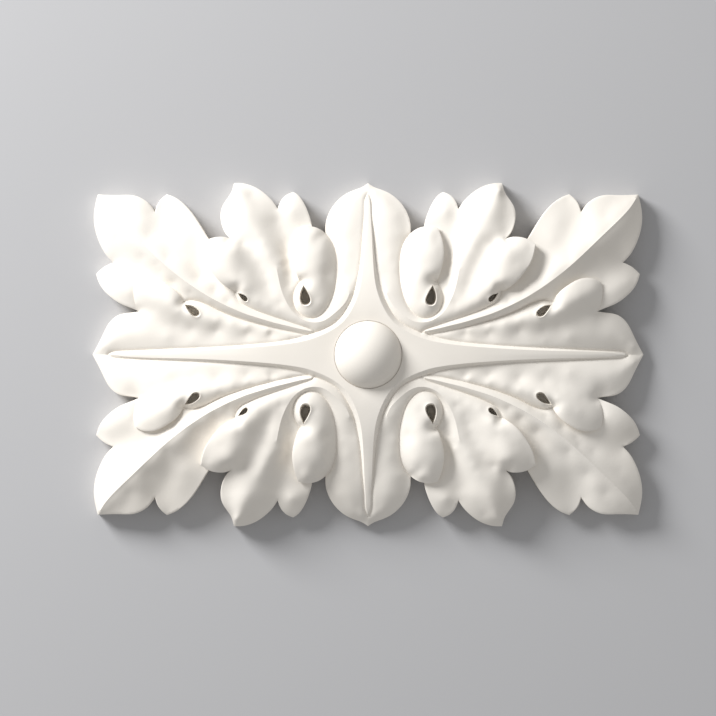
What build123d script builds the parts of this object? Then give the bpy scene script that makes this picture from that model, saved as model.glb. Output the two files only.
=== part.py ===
"""Oval ceiling rosette of cast plaster: one casting with a flat back.

Four acanthus leaves in each quarter fall from a crown to the leaf tips, three rolled
curls with tear-shaped eyes lie between them, a concave four-pointed star covers the
crown and a round boss sits on its centre.
The back lies on z = 0, the relief stands up along +Z, length runs along X.
"""
import os
from math import acos, atan2, cos, hypot, sin

from build123d import *

os.makedirs("parts", exist_ok=True)

# Driving sizes, millimetres
length = 400.0
width = 249.0
leaf_edge = 7.0        # thickness of the casting at the leaf tips
crown_rise = 31.5      # height of the star top above the leaf tips
boss_diameter = 48.0
boss_rise = 16.0
eye_depth = 9.0

# The quarter is drawn at 400 x 249 with a crown rise of 31.5 and scaled to the sizes above
along = length / 400.0
across = width / 249.0
rise = crown_rise / 31.5


def plan(x, y):
    """Point of the quarter drawing on the back plane."""
    return (x * along, y * across)


def lift(height):
    """Height of the drawing, measured from the back, at the wanted edge and rise."""
    return leaf_edge + (height - 7.0) * rise


def section(station, crown, lengthwise, crease=None):
    """Closed section: vertical sides from the back and a smooth crown line on top."""
    points = []
    for offset, height in crown:
        if lengthwise:
            x, y = plan(station, offset)
        else:
            x, y = plan(offset, station)
        points.append(Vector(x, y, lift(height)))
    first_foot = Vector(points[0].X, points[0].Y, 0)
    last_foot = Vector(points[-1].X, points[-1].Y, 0)
    edges = [Line(first_foot, points[0])]
    if crease is None:
        edges.append(Spline(*points))
    else:
        edges.append(Spline(*points[: crease + 1]))
        edges.append(Spline(*points[crease:]))
    edges.append(Line(points[-1], last_foot))
    edges.append(Line(last_foot, first_foot))
    return Wire(edges)


def lobe(rows, lengthwise, crease=None):
    """Solid lofted through the sections of one leaf or curl."""
    wires = [section(station, crown, lengthwise, crease) for station, crown in rows]
    return Solid.make_loft(wires, ruled=False)


# Leaf outline of the quarter: one smooth run between each two points or notches
def run(*points):
    return Spline(*[plan(x, y) for x, y in points])


outline = [
    Line(plan(0, 0), plan(200, 0)),
    run((200, 0), (196, 7), (189, 20.5), (180, 29), (165.5, 31.2)),
    run((165.5, 31.2), (180, 37.2), (192, 47.3), (197, 58.4)),
    run((197, 58.4), (189.5, 64.5), (184.6, 66.7)),
    run((184.6, 66.7), (193.5, 78.5), (198.5, 100), (196, 116)),
    run((196, 116), (180, 115.7), (165, 113.7), (154.2, 103.2)),
    run((154.2, 103.2), (151.5, 110.8), (145.8, 116.3)),
    run((145.8, 116.3), (135.3, 110.9), (123, 96), (115, 83.2)),
    run((115, 83.2), (108, 84.9), (99.4, 83.6)),
    run((99.4, 83.6), (105.5, 93.3), (105.5, 107), (98.5, 118.5), (97, 124.4)),
    run((97, 124.4), (86.6, 123), (73, 115), (65.4, 105.5)),
    run((65.4, 105.5), (61.5, 113.5), (54.3, 118)),
    run((54.3, 118), (46.7, 110.2), (41.2, 96), (40.6, 92.4)),
    run((40.6, 92.4), (35.3, 90.6), (30.9, 87.9)),
    run((30.9, 87.9), (29.1, 100.8), (20.3, 113.6), (6, 121), (0, 124.5)),
    Line(plan(0, 124.5), plan(0, 0)),
]
silhouette = extrude(make_face(Wire(outline)), lift(60.0))

# Mound under the leaves: closes the ground between leaves and curls
mound = lobe([
    (-6, [(-5, 31), (45, 30), (84, 22)]),
    (50, [(-5, 31), (45, 30), (88, 20)]),
    (90, [(-5, 30), (45, 27), (82, 20)]),
    (130, [(-5, 26), (32, 24), (66, 17)]),
    (164, [(-5, 16), (22, 15), (40, 13)]),
], lengthwise=True)

# Leaf on the long axis: the star arm runs over its middle
long_leaf = lobe([
    (-6, [(-5, 35), (14, 35), (30, 35)]),
    (50, [(-5, 35), (14, 35), (30, 35)]),
    (80, [(-5, 34), (12, 33.5), (28, 32)]),
    (110, [(-5, 31), (12, 31), (28, 29.5)]),
    (145, [(-5, 25), (14, 26.5), (30, 25)]),
    (174, [(-5, 17), (14, 18.8), (31.5, 16)]),
    (201, [(-5, 6.6), (12, 7.2), (31.5, 5)]),
], lengthwise=True)

# Leaf on the short axis
short_leaf = lobe([
    (-6, [(-5, 36), (14, 36), (26, 36)]),
    (30, [(-5, 36), (14, 36), (26, 35)]),
    (44, [(-5, 35), (14, 35.3), (26, 32.5)]),
    (58, [(-5, 31.3), (12, 31), (27, 28.5)]),
    (87, [(-5, 24), (13, 24.5), (31.5, 20)]),
    (101, [(-5, 19.3), (12.5, 20.5), (31.5, 16)]),
    (116, [(-5, 12.5), (9, 13.5), (31.5, 7)]),
    (125.5, [(-5, 6.6), (9, 7), (31.5, 5)]),
], lengthwise=False)

# Corner leaf with a sharp midrib
corner_leaf = lobe([
    (30, [(8, 34), (14.5, 36.5), (24, 35.5)]),
    (72.5, [(18, 32), (24.4, 36), (34, 33)]),
    (109, [(27, 30), (39.5, 36), (60, 30)]),
    (145, [(36, 24), (65, 32), (117, 15)]),
    (174, [(32, 20.5), (90.5, 25), (117, 14)]),
    (199, [(32, 11), (116, 11), (117, 10.8)]),
], lengthwise=True, crease=1)

# Middle leaf of the long side
side_leaf = lobe([
    (30, [(52, 36), (60, 37), (75, 35.5)]),
    (44, [(50, 34), (63, 36.5), (80, 34)]),
    (58, [(45, 29), (65, 34.6), (84, 33)]),
    (72.5, [(40, 25), (72, 33), (95, 29.5)]),
    (87, [(40, 21.5), (80, 31), (108, 23)]),
    (101.5, [(40, 20), (87, 28.5), (108, 21)]),
    (116, [(40, 13), (92, 20.5), (108, 14)]),
    (125.5, [(40, 8.5), (97, 12.5), (108, 9.5)]),
], lengthwise=False)

# Crown round the star, closed by the arch over the short curl
crown = lobe([
    (-6, [(-5, 35.5), (40, 35.5), (62, 34.5)]),
    (24, [(-5, 36), (38, 37.3), (62, 36)]),
    (34, [(-5, 35.5), (30, 35), (58, 36.5)]),
], lengthwise=False)

# Curl beside the long leaf
long_curl = lobe([
    (40, [(8, 34.5), (12.5, 36), (15.5, 34.5)]),
    (72.5, [(9, 33), (16, 34.8), (20.5, 32.8)]),
    (109, [(16, 31), (24, 34.4), (32.6, 30.5)]),
    (125, [(18, 28.5), (29, 34.6), (39.5, 30)]),
    (145, [(22, 26), (36.5, 33.4), (52, 29.5)]),
    (158, [(26, 22.5), (41, 29.5), (55.2, 26)]),
    (169, [(34, 19.5), (44, 24), (52.4, 22)]),
], lengthwise=True)

# Curl between the corner leaf and the side leaf
middle_curl = lobe([
    (50, [(20, 35), (27, 36.8), (33, 35)]),
    (72.5, [(28.7, 34), (36, 38), (48, 33.5)]),
    (90, [(35, 35), (49, 40), (76, 30)]),
    (109, [(54, 38), (66, 39.4), (86, 30.5)]),
    (120, [(75, 34), (78, 34), (81.5, 32.5)]),
], lengthwise=True)

# Curl under the arch
short_curl = lobe([
    (28, [(33, 35), (40, 36.5), (48, 35.5)]),
    (36, [(27.5, 33.5), (41, 38), (53, 35.5)]),
    (44, [(24.5, 31.5), (40, 38.4), (54, 35.5)]),
    (58, [(22.5, 29), (39, 38.4), (51.5, 35)]),
    (72.5, [(24, 27), (41, 36), (54.5, 32)]),
    (87, [(30, 24), (43, 30.5), (53.5, 27)]),
    (93, [(36, 23), (44, 27), (51, 25)]),
], lengthwise=False)

# Star: bevelled arms with concave sides
def arm(rows, lengthwise):
    wires = []
    for station, top_half, top, foot_half, foot in rows:
        points = []
        for offset, height in ((-5, top), (top_half, top), (foot_half, foot)):
            x, y = plan(station, offset) if lengthwise else plan(offset, station)
            points.append(Vector(x, y, lift(height)))
        floor = [Vector(points[-1].X, points[-1].Y, 0), Vector(points[0].X, points[0].Y, 0)]
        wires.append(Wire(Polyline(*points, *floor, close=True)))
    return Solid.make_loft(wires, ruled=False)


long_arm = arm([
    (-6, 24, 38.5, 31, 33.5),
    (18, 24, 38.5, 28.5, 33.5),
    (29, 15.9, 38.5, 19.6, 33.5),
    (43.5, 10.2, 38.5, 14, 34),
    (58, 7.5, 38.2, 10.4, 34),
    (80, 5.5, 37, 7.6, 33.4),
    (109, 3.6, 33, 5.8, 30.6),
    (145, 2.2, 24.8, 4.2, 22.8),
    (174, 1.5, 15.7, 2.8, 14.5),
    (188.8, 0.9, 10.4, 1.8, 9.4),
], lengthwise=True)
short_arm = arm([
    (-6, 20, 38.5, 25, 33.5),
    (20, 20, 38.5, 24.5, 33.5),
    (27.5, 14.5, 38.5, 18.8, 33.5),
    (38.5, 9, 38, 12.5, 33.5),
    (50, 5.8, 36.5, 9, 32),
    (62, 4.1, 34, 6.5, 29),
    (80, 3.2, 29, 4.6, 25),
    (101, 2.2, 20, 2.9, 18),
    (117.4, 0.9, 12.5, 1.9, 11.5),
], lengthwise=False)

quarter = (mound + [
    long_leaf, short_leaf, corner_leaf, side_leaf, crown, long_curl, middle_curl, short_curl, long_arm, short_arm,
]) & silhouette


def tear_pit(centre, radius, tip, top):
    """Tear-shaped pit: a round end drawn out to a point."""
    cx, cy = plan(*centre)
    tx, ty = plan(*tip)
    reach = hypot(tx - cx, ty - cy)
    bearing = atan2(ty - cy, tx - cx)
    spread = acos(radius / reach)
    start = (cx + radius * cos(bearing + spread), cy + radius * sin(bearing + spread))
    end = (cx + radius * cos(bearing - spread), cy + radius * sin(bearing - spread))
    back = (cx - radius * cos(bearing), cy - radius * sin(bearing))
    rim = [Line((tx, ty), start), ThreePointArc(start, back, end), Line(end, (tx, ty))]
    pit = extrude(make_face(Wire(rim)), eye_depth + 12)
    return Pos(0, 0, lift(top) - eye_depth) * pit


quarter -= tear_pit((125, 29.5), 3.6, (132, 36), 34)
quarter -= tear_pit((89, 40.5), 2.6, (94.6, 44.6), 38)
quarter -= tear_pit((45, 39.3), 4.4, (46.5, 50), 38)

print("quarter", quarter.volume, quarter.is_valid, len(quarter.solids()))
half = quarter + mirror(quarter, Plane.YZ)
whole = half + mirror(half, Plane.XZ)
print("whole", whole.volume, whole.is_valid, len(whole.solids()))

# Boss on the centre of the star
boss_base = boss_diameter / 2
boss_radius = (boss_base ** 2 + boss_rise ** 2) / (2 * boss_rise)
star_top = lift(38.5)
ball = Pos(0, 0, star_top + boss_rise - boss_radius) * Sphere(boss_radius)
boss = ball & (Pos(0, 0, star_top + boss_rise / 2 - 2) * Cylinder(boss_base + 5, boss_rise + 4))
rosette = (whole + boss).clean()

print("solids", len(rosette.solids()), "valid", rosette.is_valid, rosette.bounding_box())
export_step(rosette, "parts/rosette.step")
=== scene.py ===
"""Oblong cast plaster ceiling rosette, seen straight on as it lies on its flat back.

One quarter is sculpted from guide curves, in millimetres, and mirrored twice.
A guide is a list of points (x, y, height above the back).
"""
import bpy
import bmesh
import math
import numpy as np
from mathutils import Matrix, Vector
from mathutils.geometry import delaunay_2d_cdt


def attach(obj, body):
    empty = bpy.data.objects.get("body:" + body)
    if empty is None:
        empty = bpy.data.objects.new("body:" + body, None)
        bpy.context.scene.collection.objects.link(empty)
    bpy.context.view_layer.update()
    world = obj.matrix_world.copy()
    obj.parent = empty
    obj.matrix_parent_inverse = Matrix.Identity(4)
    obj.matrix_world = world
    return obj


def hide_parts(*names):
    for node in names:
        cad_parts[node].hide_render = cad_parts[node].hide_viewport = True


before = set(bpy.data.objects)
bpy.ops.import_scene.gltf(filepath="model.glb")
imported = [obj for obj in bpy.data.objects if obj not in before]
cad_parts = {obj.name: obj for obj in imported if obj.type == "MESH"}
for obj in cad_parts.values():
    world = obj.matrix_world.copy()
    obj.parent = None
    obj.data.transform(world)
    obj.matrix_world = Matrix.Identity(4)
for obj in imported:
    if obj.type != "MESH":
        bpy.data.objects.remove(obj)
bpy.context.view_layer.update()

MM = 0.001
HALF_LENGTH = 200.0
HALF_WIDTH = 124.5
TOP = 54.5

GRID = 1.12        # spacing of the surface points
STEP = 0.95        # spacing of the points along the guides
EDGE_ROUND = 0.55      # rounding of the leaf edges
EYE_DEPTH = 9.0
BOSS_BASE = 24.0
BOSS_RISE = 16.0


# ---- curves ----
def curve(*points):
    """Smooth line through the points, with a point about every STEP."""
    p = np.array(points, float)
    if len(p) == 2:
        n = max(2, int(math.ceil(np.linalg.norm(p[1, :2] - p[0, :2]) / STEP)) + 1)
        t = np.linspace(0, 1, n)[:, None]
        return p[0] * (1 - t) + p[1] * t
    d = np.sqrt(np.linalg.norm(np.diff(p[:, :2], axis=0), axis=1) + 1e-9) ** 1.4
    t = np.concatenate([[0], np.cumsum(d)])
    n = len(p)
    h = np.diff(t)
    a = np.zeros((n, n))
    b = np.zeros((n, p.shape[1]))
    a[0, 0] = a[-1, -1] = 1
    for i in range(1, n - 1):
        a[i, i - 1] = h[i - 1]
        a[i, i] = 2 * (h[i - 1] + h[i])
        a[i, i + 1] = h[i]
        b[i] = 6 * ((p[i + 1] - p[i]) / h[i] - (p[i] - p[i - 1]) / h[i - 1])
    m = np.linalg.solve(a, b)
    fine = np.linspace(0, t[-1], 40 * n)
    k = np.clip(np.searchsorted(t, fine, side="right") - 1, 0, n - 2)
    u = (fine - t[k])[:, None]
    w = (t[k + 1] - fine)[:, None]
    hk = h[k][:, None]
    q = (m[k] * w ** 3 + m[k + 1] * u ** 3) / (6 * hk)
    q += (p[k] / hk - m[k] * hk / 6) * w + (p[k + 1] / hk - m[k + 1] * hk / 6) * u
    q[0], q[-1] = p[0], p[-1]
    run = np.concatenate([[0], np.cumsum(np.linalg.norm(np.diff(q[:, :2], axis=0), axis=1))])
    count = max(2, int(round(run[-1] / STEP)) + 1)
    at = np.linspace(0, run[-1], count)
    out = np.stack([np.interp(at, run, q[:, c]) for c in range(p.shape[1])], 1)
    out[0], out[-1] = p[0], p[-1]
    return out


def chain(*lines):
    """Lines end to end, shared end points kept once."""
    out = [lines[0]]
    for line in lines[1:]:
        out.append(line[1:])
    return np.concatenate(out)


def loop_of(*lines):
    """Closed loop from lines end to end."""
    return chain(*lines)[:-1]


def inside(points, loop):
    """Which points lie inside the loop, seen from above."""
    x, y = points[:, 0][:, None], points[:, 1][:, None]
    x0, y0 = loop[:, 0][None], loop[:, 1][None]
    x1, y1 = np.roll(loop[:, 0], -1)[None], np.roll(loop[:, 1], -1)[None]
    over = (y0 > y) != (y1 > y)
    dy = np.where(y1 == y0, 1e-12, y1 - y0)
    cross = x < (x1 - x0) * (y - y0) / dy + x0
    return (over & cross).sum(1) % 2 == 1


def distance(points, line):
    """Distance of each point from the line, seen from above."""
    a, b = line[:-1, :2], line[1:, :2]
    ab = b - a
    length = (ab ** 2).sum(1) + 1e-12
    best = np.full(len(points), 1e9)
    for start in range(0, len(points), 4000):
        p = points[start:start + 4000, None, :2]
        t = np.clip(((p - a[None]) * ab[None]).sum(2) / length, 0, 1)
        d = np.linalg.norm(p - (a[None] + t[..., None] * ab[None]), axis=2)
        best[start:start + 4000] = d.min(1)
    return best


def shifted(line, amount, first=None, last=None):
    """The line moved sideways to its left by amount, with given end directions."""
    d = np.gradient(line[:, :2], axis=0)
    if len(line) > 2:
        d[1:-1] = line[2:, :2] - line[:-2, :2]
    n = np.stack([-d[:, 1], d[:, 0]], 1)
    n /= np.linalg.norm(n, axis=1)[:, None] + 1e-12
    if first is not None:
        n[0] = first
    if last is not None:
        n[-1] = last
    out = line.copy()
    out[:, :2] += amount * n
    return out


# ---- smooth surface through guide points ----
class Surface:
    """Thin plate bent through the guide points."""

    def __init__(self, guides):
        p = np.concatenate(guides)
        keep = []
        seen = set()
        for i, q in enumerate(np.round(p[:, :2] / 0.8).astype(int)):
            if tuple(q) not in seen:
                seen.add(tuple(q))
                keep.append(i)
        self.p = p[keep]
        n = len(self.p)
        xy = self.p[:, :2] / 50.0
        k = self.bend(np.linalg.norm(xy[:, None] - xy[None], axis=2))
        flat = np.concatenate([np.ones((n, 1)), xy], 1)
        a = np.zeros((n + 3, n + 3))
        a[:n, :n] = k + 1e-6 * np.eye(n)
        a[:n, n:] = flat
        a[n:, :n] = flat.T
        self.w = np.linalg.solve(a, np.concatenate([self.p[:, 2], np.zeros(3)]))

    @staticmethod
    def bend(r):
        return np.where(r > 1e-9, r * r * np.log(np.maximum(r, 1e-9)), 0.0)

    def __call__(self, points):
        xy = points[:, :2] / 50.0
        own = self.p[:, :2] / 50.0
        out = np.zeros(len(xy))
        for start in range(0, len(xy), 4000):
            part = xy[start:start + 4000]
            k = self.bend(np.linalg.norm(part[:, None] - own[None], axis=2))
            flat = np.concatenate([np.ones((len(part), 1)), part], 1)
            out[start:start + 4000] = k @ self.w[:-3] + flat @ self.w[-3:]
        return out


def thin(line, gap=3.2):
    """Fewer points of a fine line, for fitting a surface."""
    step = max(1, int(round(gap / STEP)))
    picked = line[::step]
    return np.concatenate([picked, line[-1:]])


# Fine lines cut into or raised on the surfaces: (line, height, width)
fine_lines = []


def fine_relief(points):
    out = np.zeros(len(points))
    for line, height, width in fine_lines:
        out += height * np.exp(-distance(points, line) / width)
    return out


# ---- mesh of the quarter ----
vertices = []
faces = []


def add_mesh(points, triangles):
    base = sum(len(v) for v in vertices)
    vertices.append(np.asarray(points, float))
    faces.append(np.asarray(triangles, int) + base)


def fill(loop, holes=(), features=(), extra=None):
    """Triangles of the flat region inside the loop; returns points (x, y) and triangles."""
    flat = [loop[:, :2]]
    edges = [(i, (i + 1) % len(loop)) for i in range(len(loop))]
    count = len(loop)
    for hole in holes:
        edges += [(count + i, count + (i + 1) % len(hole)) for i in range(len(hole))]
        flat.append(hole[:, :2])
        count += len(hole)
    for line in features:
        edges += [(count + i, count + i + 1) for i in range(len(line) - 1)]
        flat.append(line[:, :2])
        count += len(line)
    if extra is not None and len(extra):
        flat.append(extra[:, :2])
    points = np.concatenate(flat)
    result = delaunay_2d_cdt([Vector(p) for p in points], edges, [], 1, 1e-5, True)
    out = np.array([tuple(v) for v in result[0]])
    tri = np.array([tuple(f) for f in result[2]])
    source = np.array([ids[0] if len(ids) else -1 for ids in result[3]])
    out[source >= 0] = points[source[source >= 0]]
    centre = out[tri].mean(1)
    keep = inside(centre, loop)
    for hole in holes:
        keep &= ~inside(centre, hole)
    tri = tri[keep]
    a, b, c = out[tri[:, 0]], out[tri[:, 1]], out[tri[:, 2]]
    area = (b[:, 0] - a[:, 0]) * (c[:, 1] - a[:, 1]) - (b[:, 1] - a[:, 1]) * (c[:, 0] - a[:, 0])
    tri[area < 0] = tri[area < 0][:, ::-1]
    return out, tri[np.abs(area) > 1e-9], source


def hex_points(loop, clear_of, spacing=None):
    """Evenly spread points inside the loop, kept off its edges."""
    spacing = spacing or GRID
    low, high = loop[:, :2].min(0), loop[:, :2].max(0)
    rows = np.arange(low[1], high[1], spacing * 0.866)
    pts = []
    for i, y in enumerate(rows):
        x = np.arange(low[0] + (i % 2) * spacing / 2, high[0], spacing)
        pts.append(np.stack([x, np.full(len(x), y)], 1))
    pts = np.concatenate(pts)
    pts = pts[inside(pts, loop)]
    for line in clear_of:
        pts = pts[distance(pts, line) > 0.62 * spacing]
    return pts


def patch(loop, surface, holes=(), features=(), spacing=None, relief=True):
    """One smooth region: heights on its rim come from the guides, inside from the surface."""
    rims = [np.concatenate([loop, loop[:1]])] + [np.concatenate([h, h[:1]]) for h in holes]
    grid = hex_points(loop, rims + list(features), spacing)
    for hole in holes:
        grid = grid[~inside(grid, hole)]
    flat, tri, source = fill(loop, holes, features, grid)
    known = np.concatenate([loop] + list(holes) + list(features))[:, 2]
    z = surface(flat)
    given = (source >= 0) & (source < len(known))
    z[given] = known[source[given]]
    if relief:
        z = z + fine_relief(flat)
    add_mesh(np.column_stack([flat, z]), tri)


def wall(upper, lower, between=None):
    """Strip between two lines with the same count of points; between lies on its first edge."""
    n = len(upper)
    points = np.concatenate([upper, lower])
    tri = []
    for i in range(n - 1):
        if i == 0 and between is not None:
            points = np.concatenate([points, [between]])
            tri += [(0, 2 * n, 1), (2 * n, n, 1), (1, n, n + 1)]
            continue
        tri.append((i, n + i, i + 1))
        tri.append((i + 1, n + i, n + i + 1))
    add_mesh(points, tri)


def with_relief(line):
    out = line.copy()
    out[:, 2] += fine_relief(line)
    return out


# ---- guides of the quarter ----
# Foot of the star, from its long tip to its short tip, in three runs
foot_long = curve((188.8, 0, 10.2), (186, 1.7, 11), (174, 2.9, 15.1), (145, 4.2, 23.4), (108.7, 5.8, 30.9),
                  (79.7, 7.9, 34), (65.2, 9.4, 35), (54, 11.4, 35.7), (47, 13.2, 36), (43.5, 14.5, 36.1))
foot_corner = curve((43.5, 14.5, 36.1), (40.8, 15.3, 36.2), (38.2, 16.0, 36.2))
foot_short = curve((38.2, 16.0, 36.2), (32, 18.3, 36.2), (25.4, 21.9, 36.1), (21.7, 24.9, 36), (18.1, 29, 35.8),
                   (14.2, 35.5, 35.3), (11.2, 42, 34.5), (8.7, 50.7, 32.8), (6.5, 61.6, 30.1), (5.1, 72.5, 27.2),
                   (3.7, 90.6, 22.9), (2.9, 101.4, 19.4), (2.1, 113, 14.2), (0, 117.4, 11.6))
star_edge = curve((186.8, 0, 11.6), (174, 1.5, 16.4), (145, 2.5, 24.9), (108.7, 3.7, 32.9), (79.7, 5.5, 37),
                  (65.2, 6.8, 38), (50.7, 8.8, 38.6), (43.5, 10.4, 38.7), (36.2, 12.9, 38.7), (29, 16.1, 38.7),
                  (21.7, 20.6, 38.7), (16.5, 25.4, 38.7), (12.2, 31.8, 38.5), (8.7, 39.2, 37.9), (5.9, 48, 36.6),
                  (4.3, 58, 34.4), (3.3, 72.5, 30), (2.5, 90, 24.6), (1.7, 104, 19), (1.1, 112, 15.4), (0, 115.8, 13.2))

# Valleys between the corner leaf and the two curls beside it
valley_long = curve((43.5, 14.5, 36.1), (50.7, 15.7, 35.9), (58, 17.1, 35.5), (65.2, 18.7, 35.1), (72.5, 20.4, 34.6),
                    (79.7, 22.3, 34), (87, 24.3, 33.4), (97.8, 27.9, 32.5), (108.7, 32.3, 31.3), (116.3, 36.2, 30.3),
                    (121.7, 38.3, 29.4), (127.8, 39.3, 28.7), (132.9, 38.2, 28.4))
valley_short = curve((38.2, 16.0, 36.2), (41.8, 18.3, 36.2), (50.7, 21.4, 36.1), (58, 23.9, 35.8), (65.2, 26.2, 35.5),
                     (72.5, 28.7, 35.1), (79.7, 31.3, 34.7), (87, 34.6, 34.2), (92, 37.5, 33.6), (94.7, 41, 33),
                     (96, 45.3, 32.6))

# Free edge of the long curl, from the eye to its corner and on to the first notch
drop_long = curve((132.9, 38.2, 28.4), (134.6, 41, 30.6), (138, 45.4, 31.4), (144.8, 50.6, 30.6), (152, 54.4, 28.8),
                  (158, 55.4, 27.1), (163.5, 54.6, 25.4), (168.3, 52.3, 23.4))
drop_long_side = curve((168.3, 52.3, 23.4), (169.4, 46.5, 22.9), (168.9, 39.6, 21.7), (167.7, 35, 20.3), (165.7, 31.3, 18.3))
under_long = curve((132.9, 38.2, 28.4), (134.6, 41, 27.8), (138, 45.4, 27), (144.8, 50.6, 25.7), (152, 54.4, 24.5),
                   (158, 55.4, 23.6), (163.5, 54.6, 22.7), (168.3, 52.3, 21.7))
under_long_side = curve((168.3, 52.3, 21.7), (169.4, 46.5, 21.2), (168.9, 39.6, 20.4), (167.7, 35, 19.4), (165.7, 31.3, 18.3))

# Free edge of the middle curl
drop_middle = curve((96, 45.3, 32.6), (98.5, 46.6, 35.5), (102.8, 49.3, 38), (108.2, 54, 38.9), (113.6, 60.8, 38.2),
                    (117.7, 67.7, 36.5), (119.8, 74.2, 34.4), (120.8, 79.4, 32.2))
drop_middle_end = curve((120.8, 79.4, 32.2), (118, 81.3, 31.7), (115, 83.2, 31.2))
under_middle = curve((96, 45.3, 32.6), (98.5, 46.6, 32.6), (102.8, 49.3, 31.9), (108.2, 54, 30.4), (113.6, 60.8, 28.4),
                     (117.7, 67.7, 26.7), (119.8, 74.2, 25.6), (120.8, 79.4, 24.8))
under_middle_end = curve((120.8, 79.4, 24.8), (118, 81.3, 24.6), (115, 83.2, 24.5))

# Foot of the short curl under the arch, from the outline round its head to the eye
foot_curl = curve((30.8, 87.8, 20), (28.9, 85.7, 20.8), (26.1, 81.6, 22.3), (23.9, 75.6, 24.5), (22.8, 68.8, 26.6),
                  (22.6, 61.6, 28.5), (23, 54.3, 30.4), (24.1, 47.8, 32), (26.1, 40.5, 33.7), (29, 34.4, 34.8),
                  (32.6, 29.9, 35.4), (36.2, 27.3, 35.8), (40.6, 26.2, 36), (44.9, 26.9, 35.9), (49.3, 29.5, 35.6),
                  (52.2, 33.3, 35), (53.8, 37.7, 34.1), (54, 42, 33.1), (52.9, 46.4, 32.1), (51.1, 50, 31.2), (49.2, 52.7, 30.6))
drop_short = curve((49.2, 52.7, 30.6), (50.6, 55.5, 33.6), (52.2, 59.8, 35), (54, 66.7, 34.4), (54.7, 72.5, 33.2),
                   (54.3, 78.5, 31.4), (52.9, 84.8, 28.8), (50.4, 91.6, 25.2))
drop_short_end = curve((50.4, 91.6, 25.2), (45.7, 92.9, 24.9), (40.6, 92.6, 24))
under_short = curve((49.2, 52.7, 30.6), (50.6, 55.5, 29.8), (52.2, 59.8, 28.6), (54, 66.7, 26.8), (54.7, 72.5, 25.4),
                    (54.3, 78.5, 24.1), (52.9, 84.8, 22.9), (50.4, 91.6, 21.6))
under_short_end = curve((50.4, 91.6, 21.6), (45.7, 92.9, 21.1), (40.6, 92.6, 20.8))

# Outline, from the long tip round to the short tip
edge_long_leaf = curve((200, 0, 7), (196.2, 6.9, 8.8), (192.8, 13.5, 10.4), (189.4, 20.3, 11.8), (185.4, 25.5, 13.2),
                       (179.9, 29, 15), (171.7, 30.5, 16.9), (165.7, 31.3, 18.3))
edge_corner_leaf = [
    curve((165.7, 31.3, 18.3), (171.7, 33.8, 19.2), (179.9, 37.3, 18.6), (186.6, 42, 17.2), (192, 47.4, 15),
          (195.4, 53.2, 12.8), (197.1, 58.4, 11)),
    curve((197.1, 58.4, 11), (193.5, 61.9, 12.1), (189.3, 64.7, 13.4), (184.6, 66.7, 14.6)),
    curve((184.6, 66.7, 14.6), (189.3, 71.7, 14.6), (193.5, 78.6, 14), (197.4, 89.3, 13), (198.7, 100.1, 12),
          (197.6, 109, 11.4), (195.9, 116.1, 11)),
    curve((195.9, 116.1, 11), (189.1, 115.7, 12.8), (179.7, 115.6, 14.2), (171.7, 115.6, 15.2), (166.5, 114.4, 15.7),
          (160, 110.6, 16.2), (154.2, 103.2, 16.6)),
    curve((154.2, 103.2, 16.6), (152.6, 108.6, 15.2), (149.5, 113.1, 13.6), (145.8, 116.3, 12)),
    curve((145.8, 116.3, 12), (140.6, 114.3, 13.6), (135.3, 110.9, 15.2), (128.8, 104.4, 17.5), (122.6, 95.7, 20.3),
          (115, 83.2, 24.5)),
]
edge_middle_curl = curve((115, 83.2, 31.2), (111.5, 84.4, 31), (106.5, 85, 30.4), (102.8, 84.7, 29.4), (99.4, 83.6, 28.4))
edge_side_leaf = [
    curve((99.4, 83.6, 28.4), (102.8, 87.3, 26.8), (105.5, 93.3, 24.7), (106.6, 100.1, 22.2), (105.5, 106.9, 19.6),
          (101.6, 113.4, 16.8), (98.9, 118, 14.6), (97.9, 121.3, 12.9), (97.1, 124.4, 11)),
    curve((97.1, 124.4, 11), (92, 124.3, 12.2), (86.6, 123.2, 13.2), (79.8, 120.2, 14.8), (73, 115.1, 16.6),
          (68.6, 110.4, 17.8), (65.4, 105.5, 18.8)),
    curve((65.4, 105.5, 18.8), (63.4, 110.8, 16.6), (59.5, 115.5, 14.3), (54.3, 118, 12)),
    curve((54.3, 118, 12), (51.2, 116, 13.4), (46.7, 110.2, 15.8), (43.3, 102.8, 18.2), (41.2, 96.2, 20), (40.6, 92.6, 20.8)),
]
edge_short_curl = curve((40.6, 92.6, 24), (36.8, 91.6, 23.4), (33.2, 89.7, 21.9), (30.8, 87.8, 20))
edge_short_leaf = curve((30.8, 87.8, 20), (30.7, 94.7, 18.2), (29.1, 100.8, 16.3), (25.7, 107.4, 14), (20.3, 113.5, 11.6),
                        (14.6, 117.5, 10), (8.1, 120.2, 8.7), (4.1, 121.8, 7.9), (0, 124.5, 7))

# Eyes: seen from above, each drawn to a point beside the free edge
eye_long = curve((132.2, 36.1), (129, 35.9), (126, 35), (123.1, 33.1), (121, 30.8), (120.7, 28.7), (121.8, 27.3),
                 (124, 26.8), (126.5, 27.7), (128.7, 30.2), (130.8, 33.2), (132.2, 36.1))[:-1]
eye_middle = curve((93.8, 44.4), (90.6, 43.7), (88, 42.4), (86.5, 40.8), (86.2, 39.1), (87, 38), (88.4, 37.9),
                   (90.2, 39.1), (92.3, 41.7), (93.8, 44.4))[:-1]
eye_short = curve((46.5, 50.1), (44.4, 47.2), (42.2, 43.2), (40.9, 39.4), (41.5, 36.6), (44.2, 34.9), (47.3, 35.5),
                  (48.9, 38), (49.3, 42), (48.4, 46.2), (46.5, 50.1))[:-1]

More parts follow.
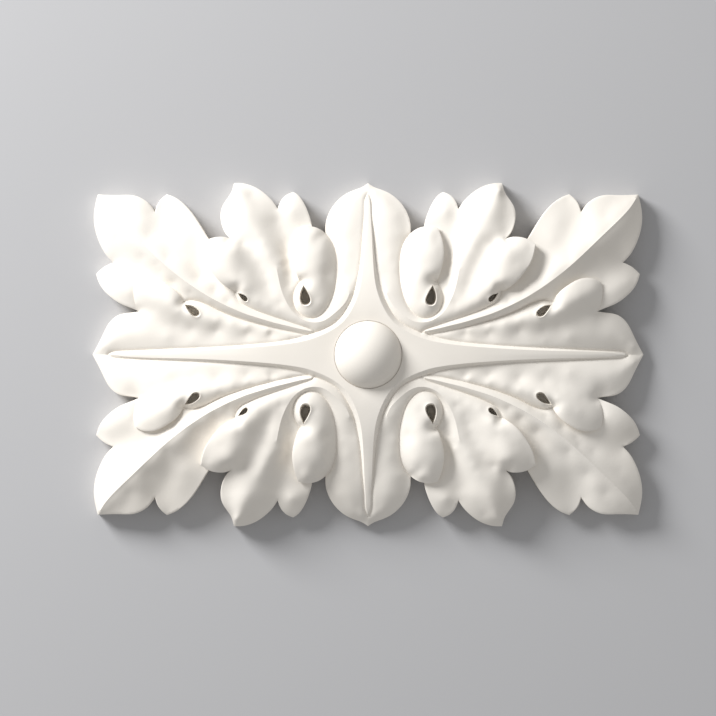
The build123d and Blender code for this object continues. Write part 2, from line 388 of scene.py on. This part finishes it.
# Crests and folds on the surfaces
midrib = curve((41, 16.9, 36.6), (50.7, 18.9, 36.8), (58, 20.7, 36.8), (65.2, 22.4, 36.8), (72.5, 24.4, 36.7),
               (79.7, 26.6, 36.6), (87, 28.9, 36.4), (101, 34.8, 36), (115, 42, 35.2), (128.5, 50.7, 33.8),
               (142, 60.9, 31.7), (155.6, 73, 29), (169.1, 85.9, 25.7), (182.6, 98.8, 21.4), (190, 107, 17.4),
               (194.4, 113.6, 12.9))
arch = curve((13.2, 44.5, 35.2), (15, 40, 35.9), (18.1, 35.5, 36.5), (21.7, 31.9, 36.9), (25.4, 28.7, 37.2),
             (29, 26, 37.4), (32.6, 24.1, 37.5), (36.2, 23.3, 37.6), (39.9, 23.2, 37.6), (43.5, 23.8, 37.6),
             (47.1, 25.2, 37.5), (50.7, 27.5, 37.4), (54.3, 30.9, 37.2), (57.8, 36.1, 36.8), (60.7, 42, 36.2),
             (62.9, 48.3, 35.5), (64.6, 55.6, 34.6), (65.8, 62, 33.8))


def rim(line, pinned=(), first=None, last=None, amount=EDGE_ROUND):
    """Rounded edge of a region on the line's left: (inset line, edge line)."""
    xy = line[:, :2]
    seg = np.diff(xy, axis=0)
    seg /= np.linalg.norm(seg, axis=1)[:, None]
    side = np.stack([-seg[:, 1], seg[:, 0]], 1)
    n = np.concatenate([side[:1], side[:-1] + side[1:], side[-1:]])
    n /= np.maximum(np.linalg.norm(n, axis=1), 0.3)[:, None]
    if first is not None:
        n[0] = first
    if last is not None:
        n[-1] = last
    run = np.concatenate([[0], np.cumsum(np.linalg.norm(np.diff(xy, axis=0), axis=1))])
    size = np.full(len(line), amount)
    for i in pinned:
        size = np.minimum(size, amount * np.clip(np.abs(run - run[i]) / 3.0, 0, 1))
    inset = line.copy()
    inset[:, :2] += n * size[:, None]
    edge = line.copy()
    edge[:, 2] -= size
    return inset, edge


def under(line, amount):
    """The line below a free edge, moved under it except at its two ends."""
    run = np.concatenate([[0], np.cumsum(np.linalg.norm(np.diff(line[:, :2], axis=0), axis=1))])
    ease = np.clip(np.minimum(run, run[-1] - run) / 5.0, 0, 1)
    moved = rim(line, amount=1.0)[0]
    out = line.copy()
    out[:, :2] += (moved[:, :2] - line[:, :2]) * (amount * ease)[:, None]
    return out


def to_back(line):
    out = line.copy()
    out[:, 2] = 0
    return out


def crosses(*rows):
    """Guide points given one by one."""
    return np.array(rows, float)


star_foot = chain(foot_long, foot_corner, foot_short)
fine_lines += [
    (valley_long, -1.3, 1.1),
    (valley_short, -0.9, 1.0),
    (foot_curl, -0.9, 1.0),
    (star_foot, -0.8, 0.8),
    (midrib, 0.7, 1.2),
    (arch, 0.5, 1.2),
    (np.concatenate([eye_long, eye_long[:1]]), 0.6, 1.0),
    (np.concatenate([eye_middle, eye_middle[:1]]), 0.5, 0.8),
    (np.concatenate([eye_short, eye_short[:1]]), 0.6, 1.0),
]

# Long leaf and the long curl beside it
long_rim = chain(edge_long_leaf, drop_long_side[::-1], drop_long[::-1])
notch = len(edge_long_leaf) - 1
long_inset, long_edge = rim(long_rim, pinned=(notch, len(long_rim) - 1), first=(-1, 0))
long_axis = curve((188.8, 0, 10.2), (200 - EDGE_ROUND, 0, 7))
long_surface = Surface([
    thin(foot_long), thin(long_inset), thin(valley_long), thin(long_axis),
    crosses((70, 15, 33.9), (87, 15, 33), (109, 12, 30.9), (109, 17.5, 31.2), (127, 10, 28.6), (127, 18.5, 29.4),
            (137.7, 21, 28.2), (145, 13, 26.3), (145, 22, 27.1), (152, 23.5, 25.7), (160, 15, 22.9), (163, 26.5, 21.9),
            (174, 14.5, 18.9), (176, 24, 17.2), (185, 10.5, 14.6), (193, 6, 11)),
    crosses((58, 14.9, 35.8), (72.5, 17.3, 35.2), (87, 20.3, 34.9), (98, 22.6, 34.7), (109, 25, 34.6), (116, 27.4, 34.4),
            (119.2, 29, 34), (124, 25.2, 33.6), (129, 29, 33.9), (121.5, 33.6, 32.4), (127, 37, 31), (136, 32, 33.8),
            (140, 38, 33.9), (145, 36.5, 33.5), (147, 43.5, 32.8), (152, 40.5, 31.8), (155, 47, 30.3), (160, 44, 28.6),
            (163, 50, 26.8), (166, 46.5, 25.3), (138, 26.5, 31.1), (146, 28.8, 29.6), (155, 31.8, 26.6), (163, 36, 23.6)),
])


def flat_hole(hole, surface):
    return np.column_stack([hole[:, :2], surface(hole)])


def pit(hole, depth):
    """Eye: rounded lip, steep sides and a floor."""
    rings = [hole]
    centre = hole[:, :2].mean(0)
    for scale, drop in ((0.93, 0.7), (0.88, 2.2), (0.8, 0.6 * depth), (0.55, depth)):
        ring = hole.copy()
        ring[:, :2] = centre + (hole[:, :2] - centre) * scale
        ring[:, 2] = hole[:, 2] * (1 if drop < 3 else 0) + (hole[:, 2].mean() if drop >= 3 else 0) - drop
        rings.append(ring)
    for upper, lower in zip(rings[:-1], rings[1:]):
        wall(np.concatenate([upper, upper[:1]]), np.concatenate([lower, lower[:1]]))
    flat, tri, source = fill(rings[-1])
    add_mesh(np.column_stack([flat, np.full(len(flat), rings[-1][0, 2])]), tri)


hole = flat_hole(eye_long, long_surface)
patch(np.concatenate([long_axis[:-1], long_inset[:-1], valley_long[::-1][:-1], foot_long[::-1][:-1]]),
      long_surface, holes=[hole])
pit(with_relief(hole), 14.0)
wall(with_relief(long_inset), with_relief(long_edge))
wall(with_relief(long_edge[:notch + 1]), to_back(long_edge[:notch + 1]))

# Corner leaf
under_line = under(chain(under_long, under_long_side), -0.9)
wall(with_relief(long_edge[notch:]), with_relief(under_line[::-1]))
under_second = under(chain(under_middle, under_middle_end), 0.9)
corner_rim = chain(*edge_corner_leaf)
corner_inset, corner_edge = rim(corner_rim, pinned=(0, len(corner_rim) - 1))
corner_surface = Surface([
    thin(valley_long), thin(under_line), thin(corner_inset), thin(under_second), thin(valley_short),
    thin(foot_corner), thin(midrib, 2.5),
    crosses((115, 37.8, 33), (128, 44.5, 30.8), (140, 52.5, 28.4), (150, 60, 26.9), (152, 65.5, 28.2), (160, 62, 23.4),
            (163, 70, 24.2), (170, 56.5, 20.4), (178, 62, 17.4), (172, 45, 21.3), (181, 49, 19.6), (188, 53.5, 16.4),
            (175, 75, 20.5), (182, 84, 19.6), (188, 93, 18.3), (193, 102, 15.6)),
    crosses((101, 38.5, 34.6), (110, 46, 32.6), (122, 55, 30.6), (127, 64, 28.6), (135, 72, 27.2), (145, 69.6, 29.4),
            (145, 75.4, 27), (145, 81.2, 24.4), (145, 87, 21.7), (146, 92.7, 19.4), (150, 98.5, 17.5), (133, 84, 24.2),
            (137, 95, 20.2), (142, 104, 16.6), (158, 86, 24), (163, 95, 22), (165, 104, 18.8), (172, 100, 20.5),
            (176, 108, 17.6), (184, 110, 16.6)),
])
patch(np.concatenate([valley_long[:-1], under_line[:-1], corner_inset[:-1], under_second[::-1][:-1],
                      valley_short[::-1][:-1], foot_corner[::-1][:-1]]),
      corner_surface, features=[midrib])
wall(with_relief(corner_inset), with_relief(corner_edge))
wall(with_relief(corner_edge), to_back(corner_edge))

# Middle curl, side leaf, arch and short leaf
middle_rim = chain(drop_middle, drop_middle_end, edge_middle_curl, *edge_side_leaf)
middle_turn = len(chain(drop_middle, drop_middle_end)) - 1
middle_inset, middle_edge = rim(middle_rim, pinned=(0, len(middle_rim) - 1))
short_inset, short_edge = rim(edge_short_leaf, pinned=(0,), last=(0, -1))
short_axis = curve((0, HALF_WIDTH - EDGE_ROUND, 7), (0, 117.4, 11.6))
under_third = under(chain(under_short, under_short_end), 0.9)
middle_surface = Surface([
    thin(valley_short), thin(middle_inset), thin(under_third), thin(foot_curl), thin(short_inset), thin(short_axis),
    thin(foot_short), thin(arch, 2.5),
    crosses((50.7, 24, 37), (58, 27.6, 37.3), (65.2, 31.6, 37.8), (72.5, 35.4, 38.2), (80, 38.2, 38.4), (83.5, 42.5, 38.9),
            (90, 47, 39.9), (96, 52.3, 40.6), (101, 59, 40.8), (105.5, 66, 39.8), (109.5, 73, 37.7), (113, 79, 34.3),
            (108.5, 60.9, 39.6), (113, 69.6, 37.3), (116.5, 76, 34.4)),
    crosses((63, 37, 36.9), (70, 44, 36), (72.5, 50, 34.6), (74, 58, 33.6), (78, 65, 32.9), (83.3, 72.5, 32),
            (81.2, 58, 35.4), (87, 58, 38.4), (92.7, 58, 40.2), (88, 67, 36), (94, 67, 39.2), (95, 76, 36.3), (101, 76, 38),
            (90.6, 80, 30.4), (98, 82, 31.2), (106, 81, 33.6)),
    crosses((66, 50, 35.4), (67.5, 58, 34.6), (71.5, 72.5, 33.2), (75.5, 80, 32.2), (79.5, 87, 31), (87, 101.4, 28.4),
            (90, 107, 26.2), (93, 113, 23), (96, 119, 18), (81.2, 80, 31.2), (87, 87, 30.2), (94, 90, 28.4), (98.5, 98, 25),
            (100, 106, 22), (75.4, 101.4, 24.7), (80, 108, 22.8), (84, 116, 18.2), (69.6, 101.4, 21.9), (65, 97, 21.2),
            (62, 90, 22.6), (74, 92, 27.4), (69, 84, 28), (64.5, 76, 28.4), (62.2, 68, 30.4), (61.4, 60, 32.2)),
    crosses((57.5, 50, 32), (57, 58, 29.4), (58, 66, 27.2), (59, 72.5, 25.6), (59, 80, 24), (57, 88, 22.6), (53, 96, 21.3),
            (49, 102, 20), (56, 104, 20.8), (60.5, 100, 20.6), (53, 111, 16.6)),
    crosses((12, 50.7, 33.4), (18, 50.7, 33), (10, 58, 31), (15, 58, 31), (19.5, 62, 29.6), (10, 72.5, 27.6),
            (16, 72.5, 27.8), (9, 87, 24.2), (16, 87, 24.4), (23, 87, 22.8), (8, 101.4, 20.2), (14, 101.4, 20.5),
            (21, 101.4, 18.9), (7, 110, 16.2), (13, 110, 16.2), (5, 117, 12.4), (11, 115, 13)),
])
hole = flat_hole(eye_middle, middle_surface)
patch(np.concatenate([valley_short[:-1], middle_inset[:-1], under_third[::-1][:-1], foot_curl[::-1][:-1],
                      short_inset[:-1], short_axis[:-1], foot_short[::-1][:-1]]),
      middle_surface, holes=[hole], features=[arch])
pit(with_relief(hole), 12.0)
wall(with_relief(middle_inset), with_relief(middle_edge))
wall(with_relief(middle_edge[:middle_turn + 1]), with_relief(under_second))
wall(with_relief(middle_edge[middle_turn:]), to_back(middle_edge[middle_turn:]), between=with_relief(corner_edge[-1:])[0])
wall(with_relief(short_inset), with_relief(short_edge))
wall(with_relief(short_edge), to_back(short_edge))

# Short curl under the arch
curl_rim = chain(drop_short, drop_short_end, edge_short_curl)
curl_turn = len(chain(drop_short, drop_short_end)) - 1
curl_inset, curl_edge = rim(curl_rim, pinned=(0, len(curl_rim) - 1))
curl_surface = Surface([
    thin(curl_inset), thin(foot_curl),
    crosses((40.6, 30.5, 38), (36, 33, 37.8), (45, 31.5, 38), (49.5, 36, 37.2), (51, 42, 36), (49.5, 48, 34.9), (33, 37, 37.4),
            (38, 40, 38.6), (30, 42, 36.2), (36.5, 47, 38.5), (41, 49, 38.4), (28.5, 50, 34.8), (33.5, 54, 37.4),
            (40, 58, 38.4), (46.4, 58, 37), (31.9, 58, 35.6), (29, 58, 33.2), (26.5, 66, 30.6), (31, 66, 34.4), (36, 66, 36.8),
            (41.5, 66, 37.5), (47.5, 66, 36.8), (27.5, 76, 28), (33, 76, 32.8), (42, 76, 34.9), (49, 76, 34.2),
            (31, 83, 26.4), (37, 83, 30), (43.5, 83, 32.1), (49, 83, 30.8), (38, 88.5, 27.2), (45, 88.5, 28.8)),
])
hole = flat_hole(eye_short, curl_surface)
patch(np.concatenate([curl_inset[:-1], foot_curl[:-1]]), curl_surface, holes=[hole])
pit(with_relief(hole), 20.0)
wall(with_relief(curl_inset), with_relief(curl_edge))
wall(with_relief(curl_edge[:curl_turn + 1]), with_relief(under_third))
wall(with_relief(curl_edge[curl_turn:]), to_back(curl_edge[curl_turn:]), between=with_relief(middle_edge[-1:])[0])

# Star: bevel and flat top, with a round place for the boss
PLACE = 24.6
quarter_turn = np.linspace(0, math.pi / 2, 41)
place = np.column_stack([PLACE * np.cos(quarter_turn), PLACE * np.sin(quarter_turn), np.full(len(quarter_turn), 38.3)])
place[0, 1] = 0
place[-1, 0] = 0
top_long = curve((PLACE, 0, 38.3), (34, 0, 38.7), (50.7, 0, 38.7), (65.2, 0, 38.1), (79.7, 0, 37.1), (108.7, 0, 33.1),
                 (145, 0, 25.1), (174, 0, 16.6), (186.8, 0, 11.6))
top_short = curve((0, 115.8, 13.2), (0, 112, 15.4), (0, 104, 19.1), (0, 90, 24.7), (0, 72.5, 30.1), (0, 58, 34.5),
                  (0, 48, 36.7), (0, 39.2, 38), (0, 31, 38.6), (0, PLACE, 38.3))
bevel = Surface([thin(star_foot), thin(star_edge)])
patch(np.concatenate([star_foot, star_edge[::-1]]), bevel, spacing=1.4)
star_top = Surface([thin(star_edge), thin(top_long), thin(top_short), thin(place)])
patch(np.concatenate([top_long[:-1], star_edge[:-1], top_short[:-1], place[::-1][:-1]]), star_top)

# Boss
ball = (BOSS_BASE ** 2 + BOSS_RISE ** 2) / (2 * BOSS_RISE)
ball_centre = TOP - ball
rings = [with_relief(place)]
slope = math.acos(min(1.0, (37.3 - ball_centre) / ball))
steps = 34
for k in range(steps):
    lean = slope * (1 - k / steps)
    r = ball * math.sin(lean)
    ring = place.copy()
    ring[:, :2] *= r / PLACE
    ring[:, 2] = ball_centre + ball * math.cos(lean)
    rings.append(ring)
for outer, inner in zip(rings[:-1], rings[1:]):
    wall(outer, inner)
cap = rings[-1]
pole = np.array([[0, 0, TOP]])
add_mesh(np.concatenate([cap, pole]), [(i, i + 1, len(cap)) for i in range(len(cap) - 1)])

# Back of the quarter
back_rim = chain(long_edge[:notch + 1], corner_edge, middle_edge[middle_turn:], curl_edge[curl_turn:], short_edge,
                 curve((0, HALF_WIDTH, 0), (0, 0, 0)), curve((0, 0, 0), (HALF_LENGTH, 0, 0)))[:-1]
back_grid = hex_points(back_rim, [np.concatenate([back_rim, back_rim[:1]])], 9.0)
flat, tri, source = fill(back_rim, extra=back_grid)
add_mesh(np.column_stack([flat, np.zeros(len(flat))]), tri)


# ---- whole rosette ----
def whole_mesh(name):
    quarter = np.concatenate(vertices)
    quarter[np.abs(quarter[:, 0]) < 1e-4, 0] = 0
    quarter[np.abs(quarter[:, 1]) < 1e-4, 1] = 0
    tri = np.concatenate(faces)
    points, cells = [], []
    for k, (sx, sy) in enumerate(((1, 1), (-1, 1), (-1, -1), (1, -1))):
        points.append(quarter * (sx, sy, 1))
        cells.append((tri if sx * sy > 0 else tri[:, ::-1]) + k * len(quarter))
    points = np.concatenate(points) * MM
    cells = np.concatenate(cells)
    mesh = bpy.data.meshes.new(name)
    mesh.from_pydata(points.tolist(), [], cells.tolist())
    work = bmesh.new()
    work.from_mesh(mesh)
    bmesh.ops.remove_doubles(work, verts=work.verts, dist=0.00002)
    bmesh.ops.dissolve_degenerate(work, edges=work.edges, dist=0.000002)
    bmesh.ops.recalc_face_normals(work, faces=work.faces)
    open_edges = [e for e in work.edges if len(e.link_faces) != 2]
    print("rosette triangles", len(work.faces), "open or shared edges", len(open_edges))
    for e in open_edges[:12]:
        print("  at", [round(c / MM, 2) for c in (e.verts[0].co + e.verts[1].co) / 2], len(e.link_faces))
    for f in work.faces:
        f.smooth = True
    work.to_mesh(mesh)
    work.free()
    mesh.set_sharp_from_angle(angle=math.radians(32))
    piece = bpy.data.objects.new(name, mesh)
    bpy.context.scene.collection.objects.link(piece)
    return piece


rosette = whole_mesh("rosette_relief")


# ---- materials ----
def new_material(name):
    material = bpy.data.materials.new(name)
    material.use_nodes = True
    nodes = material.node_tree.nodes
    return material, nodes, material.node_tree.links, nodes["Principled BSDF"]


def plaster_material():
    material, nodes, links, shader = new_material("matte_plaster")
    place = nodes.new("ShaderNodeTexCoord")
    cloud = nodes.new("ShaderNodeTexNoise")
    cloud.inputs["Scale"].default_value = 9.0
    cloud.inputs["Detail"].default_value = 4.0
    cloud.inputs["Roughness"].default_value = 0.55
    links.new(place.outputs["Object"], cloud.inputs["Vector"])
    tint = nodes.new("ShaderNodeValToRGB")
    tint.color_ramp.elements[0].position = 0.35
    tint.color_ramp.elements[0].color = (0.80, 0.755, 0.69, 1)
    tint.color_ramp.elements[1].position = 0.68
    tint.color_ramp.elements[1].color = (0.84, 0.80, 0.74, 1)
    links.new(cloud.outputs["Fac"], tint.inputs["Fac"])
    links.new(tint.outputs["Color"], shader.inputs["Base Color"])
    shader.inputs["Roughness"].default_value = 0.82
    shader.inputs["Specular IOR Level"].default_value = 0.25
    grain = nodes.new("ShaderNodeTexNoise")
    grain.inputs["Scale"].default_value = 520.0
    grain.inputs["Detail"].default_value = 3.0
    links.new(place.outputs["Object"], grain.inputs["Vector"])
    bump = nodes.new("ShaderNodeBump")
    bump.inputs["Strength"].default_value = 0.12
    bump.inputs["Distance"].default_value = 0.0004
    links.new(grain.outputs["Fac"], bump.inputs["Height"])
    links.new(bump.outputs["Normal"], shader.inputs["Normal"])
    return material


rosette.data.materials.append(plaster_material())
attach(rosette, "root")
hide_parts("rosette")

# ---- floor, light, camera ----
floor_mesh = bpy.data.meshes.new("floor")
reach = 3.0
floor_mesh.from_pydata([(-reach, -reach, 0), (reach, -reach, 0), (reach, reach, 0), (-reach, reach, 0)], [], [(0, 1, 2, 3)])
floor = bpy.data.objects.new("floor", floor_mesh)
floor.location.z = -0.0002
bpy.context.scene.collection.objects.link(floor)
floor_material, nodes, links, shader = new_material("pale_floor")
shader.inputs["Base Color"].default_value = (0.47, 0.47, 0.48, 1)
shader.inputs["Roughness"].default_value = 0.9
shader.inputs["Specular IOR Level"].default_value = 0.1
floor.data.materials.append(floor_material)


def area_light(name, place, size, watts):
    lamp = bpy.data.lights.new(name, "AREA")
    lamp.shape = "DISK"
    lamp.size = size
    lamp.energy = watts
    thing = bpy.data.objects.new(name, lamp)
    thing.location = place
    aim = Vector((0, 0, 0)) - Vector(place)
    thing.rotation_euler = aim.to_track_quat("-Z", "Y").to_euler()
    bpy.context.scene.collection.objects.link(thing)
    return thing


area_light("key_light", (-1.55, 1.35, 1.05), 1.0, 74.0)

world = bpy.data.worlds.new("studio")
bpy.context.scene.world = world
world.use_nodes = True
world.node_tree.nodes["Background"].inputs["Color"].default_value = (1, 1, 1, 1)
world.node_tree.nodes["Background"].inputs["Strength"].default_value = 0.45

MM_PER_PIXEL = 400.0 / 552.0
FRAME_PIXELS = 716
RIGHT_OF_CENTRE = 10.05     # object centre in the picture, in pixels
ABOVE_CENTRE = 3.35
CAMERA_HEIGHT = 3.2
camera_data = bpy.data.cameras.new("camera")
camera = bpy.data.objects.new("camera", camera_data)
camera_data.sensor_width = 36.0
camera_data.lens = 36.0 * (CAMERA_HEIGHT - 0.012) / (FRAME_PIXELS * MM_PER_PIXEL * MM)
camera_data.clip_end = 20.0
camera.location = (-RIGHT_OF_CENTRE * MM_PER_PIXEL * MM, -ABOVE_CENTRE * MM_PER_PIXEL * MM, CAMERA_HEIGHT)
bpy.context.scene.collection.objects.link(camera)
bpy.context.scene.camera = camera
bpy.context.scene.view_settings.view_transform = "Standard"
